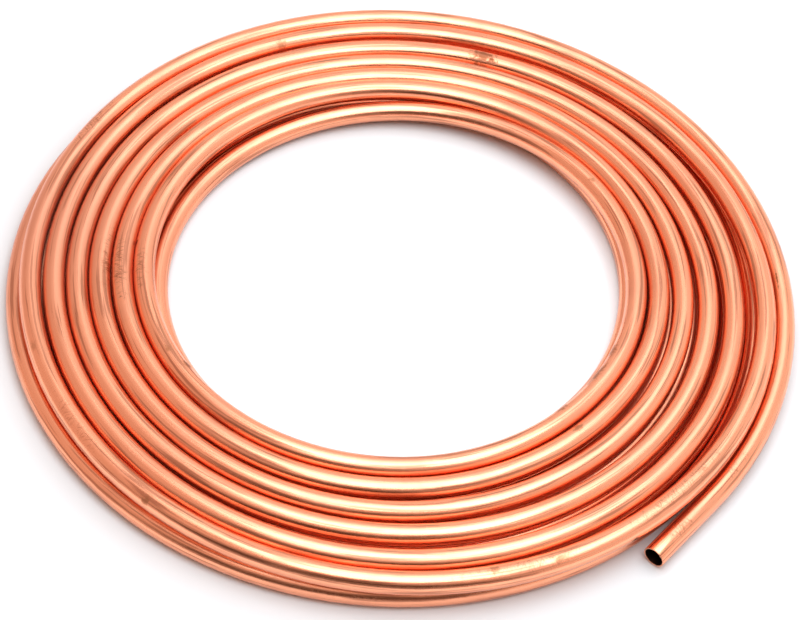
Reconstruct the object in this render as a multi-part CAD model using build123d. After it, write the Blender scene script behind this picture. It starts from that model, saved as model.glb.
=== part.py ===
from build123d import *
import os
from math import asin, cos, degrees, hypot, radians, sin, sqrt

# Copper tube coil: one length of soft tube wound flat in two layers.
# Millimetres, +Z up, origin on the floor at the upper layer's axis.
# Seen from above, the upper layer runs inward anticlockwise from the free end,
# drops to the lower layer at the eye, and runs outward again to the lower end.

# Tube
tube_diameter = 12.7
tube_wall = 0.81

# Winding
outer_turn_radius = 221.0
turn_clearance = 1.5
half_turns_each_side = 6
layer_clearance = 0.3
bearing_width = 4.0

# The lower layer lies this far to the left of the upper one
lower_layer_shift = 9.0

# Free end: leaves the outermost upper turn at the back, sags and ends straight
free_end_shift = 1.0
free_arc_spread = 3.0
free_arc_angle = 128.4
free_end_straight = 51.0
mouth_clearance = 1.1

# Lower end: goes on past the front outside the other lower turns
lower_end_angle = 40.0

# Depth to which both ends are modelled hollow
bored_length = 50.0

half_turn = 180
tube_radius = tube_diameter / 2
bore_radius = tube_radius - tube_wall
lower_height = tube_radius
upper_height = 3 * tube_radius + layer_clearance
layer_joint = 2 * tube_radius + layer_clearance / 2
layer_drop = upper_height - lower_height
free_end_sag = upper_height - tube_radius - mouth_clearance

# Each turn is two half turns, left and right of the layer's axis. Their centres
# lie half a pitch apart, so that one runs into the next without a step.
turn_pitch = tube_diameter + turn_clearance
half_pitch = turn_pitch / 2
left_centre = turn_pitch / 4
upper_right_centre = left_centre - half_pitch
lower_right_centre = left_centre + half_pitch
outer_right_radius = outer_turn_radius - half_pitch
inner_turn_radius = outer_turn_radius - half_turns_each_side * turn_pitch
lower_axis = -lower_layer_shift

up = Vector(0, 0, 1)
to_left = Vector(-1, 0, 0)
to_right = Vector(1, 0, 0)
to_back = Vector(0, 1, 0)
to_front = Vector(0, -1, 0)


def layer_profile(radii, height, axis, centre, side):
    """Section of one layer: round turns outside, a plain core from their centres to the joint.

    radii runs from the outermost turn to the innermost. side is +1 for a section
    behind the centre and -1 for one in front of it.
    """
    away = 1 if height > layer_joint else -1
    crest = height + away * tube_radius
    slope = tube_radius * cos(radians(45))
    shoulder = height + away * slope
    bearing = bearing_width / 2
    neck = height - away * sqrt(tube_radius**2 - bearing**2)

    def point(radius, z):
        return (axis, centre + side * radius, z)

    outer = radii[0]
    inner = radii[-1]
    outer_neck = point(outer + bearing, neck)
    outer_joint = point(outer + bearing, layer_joint)
    inner_neck = point(inner - bearing, neck)
    inner_joint = point(inner - bearing, layer_joint)
    edges = [
        Line(outer_joint, outer_neck),
        ThreePointArc(outer_neck, point(outer + tube_radius, height), point(outer, crest)),
    ]
    for radius, next_radius in zip(radii, radii[1:]):
        valley = point(radius - tube_radius, height)
        next_valley = point(next_radius + tube_radius, height)
        edges.append(ThreePointArc(point(radius, crest), point(radius - slope, shoulder), valley))
        edges.append(Line(valley, next_valley))
        next_shoulder = point(next_radius + slope, shoulder)
        edges.append(ThreePointArc(next_valley, next_shoulder, point(next_radius, crest)))
    edges.append(ThreePointArc(point(inner, crest), point(inner - tube_radius, height), inner_neck))
    edges.append(Line(inner_neck, inner_joint))
    edges.append(Line(inner_joint, outer_joint))
    return make_face(edges)


def turned_half(outermost, count, height, axis, centre, side):
    """Half turns of one layer, turned together about the upright line at axis, centre."""
    radii = [outermost - turn_pitch * number for number in range(count)]
    profile = layer_profile(radii, height, axis, centre, side)
    return revolve(profile, Axis((axis, centre, 0), up), half_turn)


def section(start, heading, radius):
    """Round face across the tube at start, facing along heading."""
    return Plane(origin=start, z_dir=heading) * Circle(radius)


def straight(start, heading, length, radius=tube_radius):
    return extrude(section(start, heading, radius), length)


def bend(start, heading, towards, bend_radius, angle, radius=tube_radius):
    """Tube bent through angle degrees from start, about a centre that lies towards one side."""
    centre = start + towards * bend_radius
    axis = Axis(centre, towards.cross(heading) * -1)
    return revolve(section(start, heading, radius), axis, angle)


def end_of_bend(start, heading, towards, bend_radius, angle):
    """Where the centre line of such a bend ends, and which way it then heads."""
    turn = radians(angle)
    centre = start + towards * bend_radius
    end = centre - towards * (bend_radius * cos(turn)) + heading * (bend_radius * sin(turn))
    return end, heading * cos(turn) + towards * sin(turn)


def upper_layer():
    count = half_turns_each_side
    left = turned_half(outer_turn_radius, count, upper_height, 0, left_centre, 1)
    right = turned_half(outer_right_radius, count, upper_height, 0, upper_right_centre, -1)
    return left + right


def lower_layer():
    """The lower layer without its outermost turn, which is a plain tube."""
    count = half_turns_each_side - 1
    left_outermost = outer_turn_radius - turn_pitch
    left = turned_half(left_outermost, count, lower_height, lower_axis, left_centre, 1)
    right_outermost = outer_right_radius - turn_pitch
    right = turned_half(right_outermost, count, lower_height, lower_axis, lower_right_centre, -1)
    return left + right


def drop_between_layers():
    """Out to the lower layer's axis, then half a turn at the eye down to the lower layer."""
    start = Vector(0, left_centre + inner_turn_radius, upper_height)
    turn_start = start + to_left * lower_layer_shift
    across = 2 * inner_turn_radius
    towards = Vector(0, -across, -layer_drop).normalized()
    turn_radius = hypot(across, layer_drop) / 2
    half = bend(turn_start, to_left, towards, turn_radius, half_turn)
    return straight(start, to_left, lower_layer_shift) + half


def free_end():
    """Free stretch of the outermost upper turn: an arc in a slightly tilted plane, then straight."""
    start = Vector(0, left_centre + outer_turn_radius, upper_height)
    arc_start = start + to_right * free_end_shift
    arc_radius = outer_turn_radius + free_arc_spread
    turn = radians(free_arc_angle)
    reach = arc_radius * (1 - cos(turn)) + free_end_straight * sin(turn)
    tilt = asin(free_end_sag / reach)
    towards = Vector(0, -cos(tilt), -sin(tilt))
    arc = bend(arc_start, to_right, towards, arc_radius, free_arc_angle)
    arc_end, heading = end_of_bend(arc_start, to_right, towards, arc_radius, free_arc_angle)
    mouth = arc_end + heading * free_end_straight
    tube = straight(start, to_right, free_end_shift) + arc + straight(arc_end, heading, free_end_straight)
    return tube, straight(mouth, heading * -1, bored_length, bore_radius)


def lower_end():
    """Outermost lower turn: its right half, its left half, and the end arc past the front."""
    start = Vector(lower_axis, lower_right_centre - outer_right_radius, lower_height)
    right_half = bend(start, to_right, to_back, outer_right_radius, half_turn)
    back = start + to_back * (2 * outer_right_radius)
    left_half = bend(back, to_left, to_front, outer_turn_radius, half_turn)
    front = back + to_front * (2 * outer_turn_radius)
    end_radius = outer_turn_radius + half_pitch
    end_arc = bend(front, to_right, to_back, end_radius, lower_end_angle)
    bored_angle = degrees(bored_length / end_radius)
    bore_start, heading = end_of_bend(front, to_right, to_back, end_radius, lower_end_angle - bored_angle)
    centre = front + to_back * end_radius
    towards = (centre - bore_start).normalized()
    bore = bend(bore_start, heading, towards, end_radius, bored_angle, bore_radius)
    return right_half + left_half + end_arc, bore


free_tube, free_bore = free_end()
lower_tube, lower_bore = lower_end()
coil = upper_layer() + lower_layer() + drop_between_layers() + free_tube + lower_tube
coil = coil - free_bore - lower_bore
coil.label = "copper_tube_coil"

os.makedirs("parts", exist_ok=True)
export_step(coil, "parts/copper_tube_coil.step")
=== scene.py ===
from math import cos, floor, pi, radians, sin

import bmesh
import bpy
from mathutils import Matrix, Vector


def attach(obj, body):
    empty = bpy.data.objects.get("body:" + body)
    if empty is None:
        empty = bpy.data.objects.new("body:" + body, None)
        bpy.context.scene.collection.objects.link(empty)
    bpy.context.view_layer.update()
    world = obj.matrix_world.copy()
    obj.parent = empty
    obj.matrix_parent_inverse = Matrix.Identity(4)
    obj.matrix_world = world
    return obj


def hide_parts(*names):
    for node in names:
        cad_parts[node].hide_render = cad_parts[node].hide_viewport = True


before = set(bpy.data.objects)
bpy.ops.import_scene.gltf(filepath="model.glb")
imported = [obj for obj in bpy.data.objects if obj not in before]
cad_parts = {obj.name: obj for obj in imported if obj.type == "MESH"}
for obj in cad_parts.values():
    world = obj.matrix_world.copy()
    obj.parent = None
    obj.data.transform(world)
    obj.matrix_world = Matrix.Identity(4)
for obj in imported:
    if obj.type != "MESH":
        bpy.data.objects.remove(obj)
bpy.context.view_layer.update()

scene = bpy.context.scene
scene.view_settings.view_transform = "Standard"
# Light goes back and forth between neighbouring turns many times.
scene.cycles.glossy_bounces = 12


# Camera: looks down on the coil from the front, turned a little about its own line of sight,
# so that the coil's right side hangs lower in the picture.
camera = bpy.data.objects.new("camera", bpy.data.cameras.new("camera"))
scene.collection.objects.link(camera)
camera.data.sensor_width = 36
camera.data.lens = 82.8
camera_target = Vector((-0.0025, -0.0166, 0))
camera_height_angle = radians(49.53)
camera_distance = 1.092
camera_roll = radians(5.53)
camera_back = Vector((0, -cos(camera_height_angle), sin(camera_height_angle)))
camera.matrix_world = (
    Matrix.Translation(camera_target + camera_back * camera_distance)
    @ Matrix.Rotation(radians(90) - camera_height_angle, 4, "X")
    @ Matrix.Rotation(camera_roll, 4, "Z")
)
scene.camera = camera


# Studio: a pale table top under two soft lamps, in a plain room that is open and dark in front.
# The table keeps the coil's shadow. Beyond it the table also glows, up to a limit, but only for
# the eye and for reflections.
table_mesh = bpy.data.meshes.new("table_top")
bm = bmesh.new()
bmesh.ops.create_grid(bm, x_segments=1, y_segments=1, size=6)
bm.to_mesh(table_mesh)
bm.free()
table_top = bpy.data.objects.new("table_top", table_mesh)
scene.collection.objects.link(table_top)

# Radius in the middle between the coil's inner and outer edge; the glow begins and is full so far
# inward or outward of it, in metres.
middle_of_turns = 0.19
glow_begins = 0.046
glow_full = 0.11

table_white = bpy.data.materials.new("table_white")
table_white.use_nodes = True
nodes = table_white.node_tree.nodes
links = table_white.node_tree.links
nodes.clear()
out = nodes.new("ShaderNodeOutputMaterial")
paint = nodes.new("ShaderNodeBsdfDiffuse")
paint.inputs["Color"].default_value = (0.73, 0.725, 0.73, 1)
glow = nodes.new("ShaderNodeEmission")
ray = nodes.new("ShaderNodeLightPath")
seen = nodes.new("ShaderNodeMath")
seen.operation = "MAXIMUM"
place = nodes.new("ShaderNodeTexCoord")
from_axis = nodes.new("ShaderNodeVectorMath")
from_axis.operation = "LENGTH"
off_middle = nodes.new("ShaderNodeMath")
off_middle.operation = "SUBTRACT"
off_middle.inputs[1].default_value = middle_of_turns
to_side = nodes.new("ShaderNodeMath")
to_side.operation = "ABSOLUTE"
clear_of_coil = nodes.new("ShaderNodeMapRange")
clear_of_coil.interpolation_type = "SMOOTHSTEP"
clear_of_coil.inputs["From Min"].default_value = glow_begins
clear_of_coil.inputs["From Max"].default_value = glow_full
clear_of_coil.inputs["To Max"].default_value = 0.45
glow_strength = nodes.new("ShaderNodeMath")
glow_strength.operation = "MULTIPLY"
paint_and_glow = nodes.new("ShaderNodeAddShader")
links.new(ray.outputs["Is Camera Ray"], seen.inputs[0])
links.new(ray.outputs["Is Glossy Ray"], seen.inputs[1])
links.new(place.outputs["Object"], from_axis.inputs[0])
links.new(from_axis.outputs["Value"], off_middle.inputs[0])
links.new(off_middle.outputs[0], to_side.inputs[0])
links.new(to_side.outputs[0], clear_of_coil.inputs["Value"])
links.new(seen.outputs[0], glow_strength.inputs[0])
links.new(clear_of_coil.outputs[0], glow_strength.inputs[1])
links.new(glow_strength.outputs[0], glow.inputs["Strength"])
links.new(paint.outputs[0], paint_and_glow.inputs[0])
links.new(glow.outputs[0], paint_and_glow.inputs[1])
links.new(paint_and_glow.outputs[0], out.inputs["Surface"])
table_mesh.materials.append(table_white)

# The walls are lightest at the back right and warmer at the front left. The dark opening in front
# is low and wide, and gives the tubes their dark bands. Seen directly, the room is white.
lightest_way = (0.75, 0.66, 0)
opening_way = (-0.18, -0.91, 0.36)
opening_shape = (1, 1, 2)

room = bpy.data.worlds.new("plain_room")
room.use_nodes = True
scene.world = room
nodes = room.node_tree.nodes
links = room.node_tree.links
nodes.clear()
out = nodes.new("ShaderNodeOutputWorld")
walls = nodes.new("ShaderNodeBackground")
ray = nodes.new("ShaderNodeLightPath")
way = nodes.new("ShaderNodeTexCoord")
lighter_side = nodes.new("ShaderNodeVectorMath")
lighter_side.operation = "DOT_PRODUCT"
lighter_side.inputs[1].default_value = lightest_way
shade = nodes.new("ShaderNodeMapRange")
shade.inputs["From Min"].default_value = -0.3
shade.inputs["From Max"].default_value = 0.7
side_walls = nodes.new("ShaderNodeMix")
side_walls.data_type = "RGBA"
side_walls.inputs["A"].default_value = (0.83, 0.63, 0.54, 1)
side_walls.inputs["B"].default_value = (1.07, 1.03, 1.0, 1)
from_opening = nodes.new("ShaderNodeVectorMath")
from_opening.operation = "SUBTRACT"
from_opening.inputs[1].default_value = opening_way
flattened = nodes.new("ShaderNodeVectorMath")
flattened.operation = "MULTIPLY"
flattened.inputs[1].default_value = opening_shape
off_opening = nodes.new("ShaderNodeVectorMath")
off_opening.operation = "LENGTH"
opening = nodes.new("ShaderNodeMapRange")
opening.interpolation_type = "SMOOTHSTEP"
opening.inputs["From Min"].default_value = 0.95
opening.inputs["From Max"].default_value = 0.55
all_walls = nodes.new("ShaderNodeMix")
all_walls.data_type = "RGBA"
all_walls.inputs["B"].default_value = (0.09, 0.05, 0.03, 1)
seen = nodes.new("ShaderNodeMix")
seen.data_type = "RGBA"
seen.inputs["B"].default_value = (1, 1, 1, 1)
links.new(way.outputs["Generated"], lighter_side.inputs[0])
links.new(lighter_side.outputs["Value"], shade.inputs["Value"])
links.new(shade.outputs[0], side_walls.inputs["Factor"])
links.new(way.outputs["Generated"], from_opening.inputs[0])
links.new(from_opening.outputs[0], flattened.inputs[0])
links.new(flattened.outputs[0], off_opening.inputs[0])
links.new(off_opening.outputs["Value"], opening.inputs["Value"])
links.new(opening.outputs[0], all_walls.inputs["Factor"])
links.new(side_walls.outputs["Result"], all_walls.inputs["A"])
links.new(ray.outputs["Is Camera Ray"], seen.inputs["Factor"])
links.new(all_walls.outputs["Result"], seen.inputs["A"])
links.new(seen.outputs["Result"], walls.inputs["Color"])
links.new(walls.outputs[0], out.inputs["Surface"])

# Each lamp: its name, width and depth, power, colour and place
softboxes = [
    ("overhead_softbox", (0.9, 0.84), 9.6, (0.78, 0.92, 1.0), (0.15, -0.22, 0.95)),
    ("back_softbox", (0.8, 0.55), 2.5, (0.72, 0.88, 1.0), (0.2, 0.475, 0.95)),
]
for name, (width, depth), power, colour, lamp_place in softboxes:
    lamp = bpy.data.objects.new(name, bpy.data.lights.new(name, "AREA"))
    scene.collection.objects.link(lamp)
    lamp.data.shape = "RECTANGLE"
    lamp.data.size = width
    lamp.data.size_y = depth
    lamp.data.energy = power
    lamp.data.color = colour
    lamp.location = lamp_place


# The tube coil: one length of soft copper tube, 12.7 mm across with a 0.81 mm wall, drawn bright
# and wound flat in two layers, nearly seven turns inward above and as many outward below. Its
# free end has sprung clear of the turns at the right, sags onto the table and is cut square.
tube_radius = 6.35
bore_radius = 5.54
mm_in_metre = 1000

# Distance of the upper turns from the coil's axis, in mm, turn by turn inward,
# at eight bearings each: right, back right, back, back left, left and on to front right.
upper_turns = [
    [224.5, 222.7, 222.8, 222.5, 220.6, 219.2, 217.6, 213.8],
    [212.0, 208.3, 209.2, 209.0, 206.5, 206.4, 205.0, 198.4],
    [192.3, 190.6, 191.4, 193.2, 193.8, 193.2, 188.8, 182.4],
    [177.4, 175.4, 177.6, 179.8, 181.0, 180.0, 174.8, 166.0],
    [162.6, 162.5, 164.8, 167.0, 168.2, 166.6, 159.8, 150.2],
    [148.4, 149.6, 154.0, 155.4, 155.4, 153.6, 145.6, 136.8],
    [134.8, 137.4, 143.6, 144.4, 148.0],
]
# Beneath them the tube goes on outward from the left. Its first turn and its last stretch are
# listed one by one, and it ends out of sight, beneath the outermost upper turn at the back right.
first_lower_turn = [148.5, 137.0, 130.8, 131.5, 143.0, 157.5, 159.8, 160.0]
last_lower_stretch = [216.7, 209.6, 206.4, 218.6, 226.0, 228.0]
# The rest of the lower turns are a spiral. Its axis lies to the left of the upper turns' axis and
# a little behind it.
spiral_start = 137.5
spiral_pitch = 13.4
spiral_to_left = 12.7
spiral_to_back = 3.9
# It is pressed in at the right, each eighth of a turn a little more, and pushed out at the back,
# each eighth a little less. Eighths are counted from the outermost upper turn's first reading.
spiral_eighths = range(61, 102)
spiral_counts_from = 52
pressed_from = 56
pressed_each = 0.1
pushed_until = 98
pushed_each = 1 / 7

# Heights of the centre line: the free end's rise, and the drop from the upper layer to the lower.
upper_height = 19.2
lower_height = 6.35
rise = [4.6, 7.0, 14.2, 18.2, 19.0, 19.2]
drop = [18.6, 11.0, 6.6, 6.35]

# The free end is straight for its last 51 mm, and falls a little towards the mouth.
free_radius = 223.8
free_from = -38.0
free_length = 51.4
free_fall = 0.023
end_turned = 4730.0

# The readings stand an eighth of a turn apart, and the first two of them lie before the free end.
degrees_apart = 45
readings_before = 2
far_out = [free_radius] * readings_before
far_out.extend(reading for turn in upper_turns for reading in turn)
heights = rise + [upper_height] * (len(far_out) - len(rise) - len(drop)) + drop
far_out.extend(first_lower_turn)
for eighth in spiral_eighths:
    bearing = radians(degrees_apart * eighth)
    distance = spiral_start + spiral_pitch * (eighth - spiral_counts_from) / 8
    distance -= (eighth - pressed_from) * pressed_each * max(cos(bearing), 0) ** 2
    distance += (pushed_until - eighth) * pushed_each * max(sin(bearing), 0) ** 2
    far_out.append(distance - spiral_to_left * cos(bearing) + spiral_to_back * sin(bearing))
far_out.extend(last_lower_stretch)
heights.extend([lower_height] * (len(far_out) - len(heights)))


def smooth_reading(readings, turned):
    """Value between the readings, taken from the four nearest so that it bends evenly."""
    step = turned / degrees_apart + readings_before
    first = floor(step)
    u = step - first
    a, b, c, d = readings[first - 1:first + 3]
    near = (1 - u) ** 3 * a + (3 * u ** 3 - 6 * u ** 2 + 4) * b
    return (near + (-3 * u ** 3 + 3 * u ** 2 + 3 * u + 1) * c + u ** 3 * d) / 6


def centre_line(turned):
    """Point on the tube's centre line, in mm, for an angle turned inward from the right."""
    bent_until = max(turned, free_from)
    angle = radians(bent_until)
    distance = smooth_reading(far_out, bent_until)
    point = Vector((distance * cos(angle), distance * sin(angle), 0))
    point.z = smooth_reading(heights, bent_until)
    if turned < free_from:
        straight_on = radians(free_from - turned) * free_radius
        point += Vector((sin(angle), -cos(angle), -free_fall)) * straight_on
    return point


# Stations along the tube: an angle turned, and the length from the mouth.
degrees_per_mm = 180 / pi / free_radius
station_step = 3
turned = free_from - free_length * degrees_per_mm
along = 0.0
stations = [(turned, along)]
while turned < end_turned:
    last_point = centre_line(turned)
    turned = min(turned + station_step, end_turned)
    along += (centre_line(turned) - last_point).length
    stations.append((turned, along))
mouth_turned = stations[0][0]
tube_length = stations[-1][1]
print("tube length, mm:", round(tube_length))

# Rings of the tube's skin: out along its outside, over the lower rim, back through the bore and
# over the rim at the mouth. Each is an angle turned, a length along the tube and a radius. A rim
# goes from the outside in, each ring so far in from the cut, and both its edges are rounded.
rim = [
    (0.25, tube_radius),
    (0.08, tube_radius - 0.07),
    (0, tube_radius - 0.25),
    (0, bore_radius + 0.25),
    (0.08, bore_radius + 0.07),
    (0.25, bore_radius),
]
mouth_rim = [
    (mouth_turned + in_from * degrees_per_mm, in_from, radius)
    for in_from, radius in rim
]
lower_rim = [
    (end_turned - in_from * degrees_per_mm, tube_length - in_from, radius)
    for in_from, radius in rim
]
outside = [(turned, along, tube_radius) for turned, along in stations[1:-1]]
bore = [(turned, along, bore_radius) for turned, along in stations[-3:0:-2]]
rings = mouth_rim[2::-1] + outside + lower_rim + bore + mouth_rim[:2:-1]
rings.append(rings[0])

# The tube's skin is a grid that is rolled up ring by ring. It also keeps where each point would lie
# if the tube were pulled straight, for the marks that follow it.
round_steps = 32
little_turn = 0.05
up = Vector((0, 0, 1))
bm = bmesh.new()
bmesh.ops.create_grid(bm, x_segments=len(rings) - 1, y_segments=round_steps, size=1)
straightened = bm.verts.layers.float_vector.new("straightened")
for vertex in bm.verts:
    turned, along, radius = rings[round((vertex.co.x + 1) / 2 * (len(rings) - 1))]
    angle = pi * vertex.co.y
    ahead = (centre_line(turned + little_turn) - centre_line(turned - little_turn)).normalized()
    outward = ahead.cross(up).normalized()
    upward = outward.cross(ahead)
    spoke = (outward * cos(angle) + upward * sin(angle)) * radius
    vertex.co = (centre_line(turned) + spoke) / mm_in_metre
    laid_straight = Vector((along, radius * cos(angle), radius * sin(angle)))
    vertex[straightened] = laid_straight / mm_in_metre
bmesh.ops.remove_doubles(bm, verts=bm.verts, dist=0.00001)
bmesh.ops.recalc_face_normals(bm, faces=bm.faces)
for face in bm.faces:
    face.smooth = True
coil_mesh = bpy.data.meshes.new("tube_coil")
bm.to_mesh(coil_mesh)
bm.free()
tube_coil = bpy.data.objects.new("tube_coil", coil_mesh)
scene.collection.objects.link(tube_coil)

# A worn spot is an uneven patch at one place of the straightened tube. Its reach is half its
# length and half its width, and a ragged noise frays its edge.
worn_spot = bpy.data.node_groups.new("worn_spot", "ShaderNodeTree")
for name in ("Place", "Centre", "Reach"):
    worn_spot.interface.new_socket(name, in_out="INPUT", socket_type="NodeSocketVector")
for name in ("Ragged", "Strength"):
    worn_spot.interface.new_socket(name, in_out="INPUT", socket_type="NodeSocketFloat")
worn_spot.interface.new_socket("Mask", in_out="OUTPUT", socket_type="NodeSocketFloat")
nodes = worn_spot.nodes
links = worn_spot.links
given = nodes.new("NodeGroupInput")
result = nodes.new("NodeGroupOutput")
offset = nodes.new("ShaderNodeVectorMath")
offset.operation = "SUBTRACT"
share = nodes.new("ShaderNodeVectorMath")
share.operation = "DIVIDE"
share_of_reach = nodes.new("ShaderNodeVectorMath")
share_of_reach.operation = "LENGTH"
frayed = nodes.new("ShaderNodeMath")
frayed.operation = "MULTIPLY_ADD"
frayed.inputs[1].default_value = 1.9
fade = nodes.new("ShaderNodeMapRange")
fade.interpolation_type = "SMOOTHSTEP"
fade.inputs["From Min"].default_value = 1.75
fade.inputs["From Max"].default_value = 1.15
strong = nodes.new("ShaderNodeMath")
strong.operation = "MULTIPLY"
links.new(given.outputs["Place"], offset.inputs[0])
links.new(given.outputs["Centre"], offset.inputs[1])
links.new(offset.outputs[0], share.inputs[0])
links.new(given.outputs["Reach"], share.inputs[1])
links.new(share.outputs[0], share_of_reach.inputs[0])
links.new(given.outputs["Ragged"], frayed.inputs[0])
links.new(share_of_reach.outputs["Value"], frayed.inputs[2])
links.new(frayed.outputs[0], fade.inputs["Value"])
links.new(fade.outputs[0], strong.inputs[0])
links.new(given.outputs["Strength"], strong.inputs[1])
links.new(strong.outputs[0], result.inputs["Mask"])

copper = bpy.data.materials.new("drawn_copper")
copper.use_nodes = True
nodes = copper.node_tree.nodes
links = copper.node_tree.links
nodes.clear()
out = nodes.new("ShaderNodeOutputMaterial")
metal = nodes.new("ShaderNodeBsdfPrincipled")
metal.inputs["Metallic"].default_value = 1
links.new(metal.outputs[0], out.inputs["Surface"])
skin = nodes.new("ShaderNodeAttribute")
skin.attribute_name = "straightened"
where = nodes.new("ShaderNodeTexCoord")
ragged = nodes.new("ShaderNodeTexNoise")
ragged.inputs["Scale"].default_value = 420
ragged.inputs["Detail"].default_value = 5
ragged.inputs["Roughness"].default_value = 0.65
links.new(skin.outputs["Vector"], ragged.inputs["Vector"])


def stretched_noise(along, across, detail, lean=0.0):
    """Noise with so many bumps to the metre along the tube and across it, turned by an angle."""
    stretch = nodes.new("ShaderNodeMapping")
    stretch.vector_type = "TEXTURE"
    stretch.inputs["Rotation"].default_value = (0, 0, lean)
    stretch.inputs["Scale"].default_value = (1 / along, 1 / across, 1 / across)
    noise = nodes.new("ShaderNodeTexNoise")
    noise.inputs["Scale"].default_value = 1
    noise.inputs["Detail"].default_value = detail
    links.new(skin.outputs["Vector"], stretch.inputs["Vector"])
    links.new(stretch.outputs[0], noise.inputs["Vector"])
    return noise.outputs["Fac"]


def ranged(value, low, high, to_low, to_high):
    """The value mapped from one range to another, and kept within it."""
    node = nodes.new("ShaderNodeMapRange")
    node.inputs["From Min"].default_value = low
    node.inputs["From Max"].default_value = high
    node.inputs["To Min"].default_value = to_low
    node.inputs["To Max"].default_value = to_high
    links.new(value, node.inputs["Value"])
    return node.outputs[0]


def worked_out(operation, first, second):
    """Two values put together by one sum. The second may be a plain number."""
    node = nodes.new("ShaderNodeMath")
    node.operation = operation
    links.new(first, node.inputs[0])
    if isinstance(second, float):
        node.inputs[1].default_value = second
    else:
        links.new(second, node.inputs[1])
    return node.outputs[0]


def blended(share, first, second):
    """The first colour, going over to the second by a share."""
    node = nodes.new("ShaderNodeMix")
    node.data_type = "RGBA"
    links.new(share, node.inputs["Factor"])
    if isinstance(first, tuple):
        node.inputs["A"].default_value = first
    else:
        links.new(first, node.inputs["A"])
    node.inputs["B"].default_value = second
    return node.outputs["Result"]


def worn_spots(spots):
    """One mask of all the spots.

    Each is a place along, out and up, and a reach along and across, in mm, and a strength.
    """
    mask = None
    for along, outward, upward, half_length, half_width, strength in spots:
        node = nodes.new("ShaderNodeGroup")
        node.node_tree = worn_spot
        centre = Vector((along, outward, upward))
        reach = Vector((half_length, half_width, half_width))
        node.inputs["Centre"].default_value = centre / mm_in_metre
        node.inputs["Reach"].default_value = reach / mm_in_metre
        node.inputs["Strength"].default_value = strength
        links.new(skin.outputs["Vector"], node.inputs["Place"])
        links.new(ragged.outputs["Fac"], node.inputs["Ragged"])
        spot = node.outputs["Mask"]
        mask = spot if mask is None else worked_out("MAXIMUM", mask, spot)
    return mask


# Fine lines that the drawing die leaves along the tube, and broader, fainter streaks. The streaks
# are painted in as thin darker lines, a painted reflection of the dark lines that the drawn surface
# shows
lines = stretched_noise(8, 900, 4)
streaks = stretched_noise(14, 520, 3)
painted_reflection_lines = ranged(streaks, 0.55, 0.63, 0, 0.9)

# Thin brown tarnish in patches, heavier on the outer turns at the left
patches = nodes.new("ShaderNodeTexNoise")
patches.inputs["Scale"].default_value = 24
patches.inputs["Detail"].default_value = 6
patches.inputs["Roughness"].default_value = 0.6
links.new(where.outputs["Object"], patches.inputs["Vector"])
outer_left = (-0.24, 0.01, 0.01)
from_left = nodes.new("ShaderNodeVectorMath")
from_left.operation = "DISTANCE"
from_left.inputs[1].default_value = outer_left
links.new(where.outputs["Object"], from_left.inputs[0])
left_side = ranged(from_left.outputs["Value"], 0.12, 0.02, 0, 0.75)
tarnish = worked_out("MAXIMUM", ranged(patches.outputs["Fac"], 0.5, 0.85, 0, 0.7), left_side)

# Short strokes across the tube where the turns have rubbed against each other or on the bench
lean_forward = stretched_noise(1300, 130, 4, 0.5)
lean_back = stretched_noise(1300, 130, 4, -0.35)
strokes = ranged(worked_out("MAXIMUM", lean_forward, lean_back), 0.52, 0.6, 0, 1)
broken_up = ranged(stretched_noise(160, 160, 4), 0.38, 0.52, 0, 1)
strokes = worked_out("MULTIPLY", strokes, broken_up)
rubbed = worn_spots([
    (810, 1.6, 6.1, 30, 6, 1.0),
    (4645, -4.6, 4.4, 34, 6, 1.0),
    (5712, 1.0, 6.2, 36, 6, 1.0),
    (6690, 2.0, 6.0, 24, 6, 0.8),
    (1050, 2.0, 6.0, 40, 5, 0.5),
    (1320, 1.0, 6.2, 60, 5, 0.6),
    (1420, 0.0, 6.3, 60, 5, 0.7),
    (20, 1.0, 6.2, 16, 5, 0.8),
    (75, 1.0, 6.2, 18, 5, 0.6),
])
rubbed = worked_out("MULTIPLY", rubbed, strokes)

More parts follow.
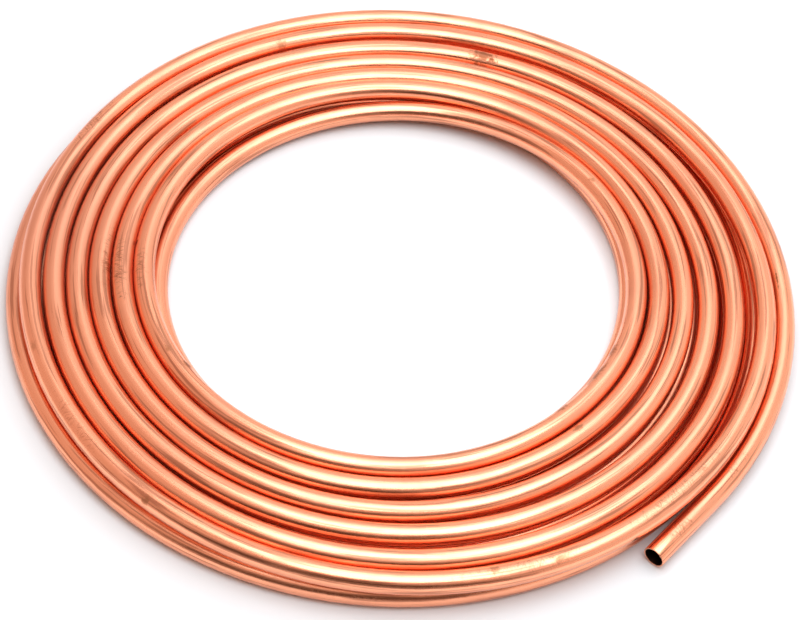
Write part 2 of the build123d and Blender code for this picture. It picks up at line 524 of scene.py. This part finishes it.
# Brown stains and dark spots, and one darker smear on the second upper turn at the back
stained = worn_spots([
    (2012, -4.4, 4.6, 6, 6, 0.6),
    (6668, 5.5, 3.1, 3, 2.5, 1.0),
    (6753, 0.7, 6.3, 5, 3, 0.7),
    (6768, -4.5, 4.4, 6, 5, 1.0),
    (7046, -5.0, 4.0, 16, 5, 0.9),
    (7068, -5.0, 4.0, 9, 4, 0.8),
    (7012, -4.5, 4.5, 8, 4, 0.8),
    (6062, -2.3, 5.9, 6, 5, 0.7),
    (7212, -1.0, 6.3, 5, 3, 0.6),
    (990, 3.0, 5.6, 6, 3, 0.4),
    (1304, -0.7, 6.3, 5, 4, 0.6),
    (1113, 4.3, 4.7, 5, 5, 0.7),
    (1340, 2.0, 6.0, 7, 3, 0.6),
    (220, -3.0, 5.5, 14, 1, 1.0),
])
smeared = worn_spots([(3137, -1.0, 6.2, 13, 12, 0.9), (3131, -3.0, 5.5, 7, 6, 1.0)])

# The bore is dull, and from just within the rim's inner edge its colour is painted nearly black:
# painted shade for the dark inside of the tube
off_centre = nodes.new("ShaderNodeSeparateXYZ")
links.new(skin.outputs["Vector"], off_centre.inputs[0])
out_squared = worked_out("POWER", off_centre.outputs["Y"], 2.0)
up_squared = worked_out("POWER", off_centre.outputs["Z"], 2.0)
from_centre = worked_out("POWER", worked_out("ADD", out_squared, up_squared), 0.5)
painted_bore_shade = ranged(from_centre, 0.0057, 0.00556, 0, 1)

bright_copper = (0.93, 0.385, 0.225, 1)
colour = blended(tarnish, bright_copper, (0.67, 0.275, 0.175, 1))
colour = blended(smeared, colour, (0.3, 0.095, 0.04, 1))
# Painted reflection: thin darker lines along the tube, on the die streaks
colour = blended(painted_reflection_lines, colour, (0.5, 0.19, 0.11, 1))
colour = blended(rubbed, colour, (0.42, 0.15, 0.08, 1))
colour = blended(stained, colour, (0.34, 0.12, 0.05, 1))
# Painted shade: the bore is coloured nearly black
colour = blended(painted_bore_shade, colour, (0.02, 0.008, 0.005, 1))
links.new(colour, metal.inputs["Base Color"])

# Tarnish, stains and the bore shine less, and the die lines and strokes stand in slight relief
roughness = ranged(lines, 0.35, 0.65, 0.22, 0.33)
dulled = worked_out("MAXIMUM", tarnish, stained)
dulled = worked_out("MAXIMUM", dulled, worked_out("MAXIMUM", painted_bore_shade, smeared))
dulled = worked_out("MULTIPLY", dulled, 0.2)
links.new(worked_out("ADD", roughness, dulled), metal.inputs["Roughness"])
relief_height = worked_out("SUBTRACT", lines, worked_out("MULTIPLY", rubbed, 0.4))
relief = nodes.new("ShaderNodeBump")
relief.inputs["Strength"].default_value = 0.5
relief.inputs["Distance"].default_value = 0.0001
links.new(relief_height, relief.inputs["Height"])
links.new(relief.outputs[0], metal.inputs["Normal"])
coil_mesh.materials.append(copper)

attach(tube_coil, "root")
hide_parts("copper_tube_coil")
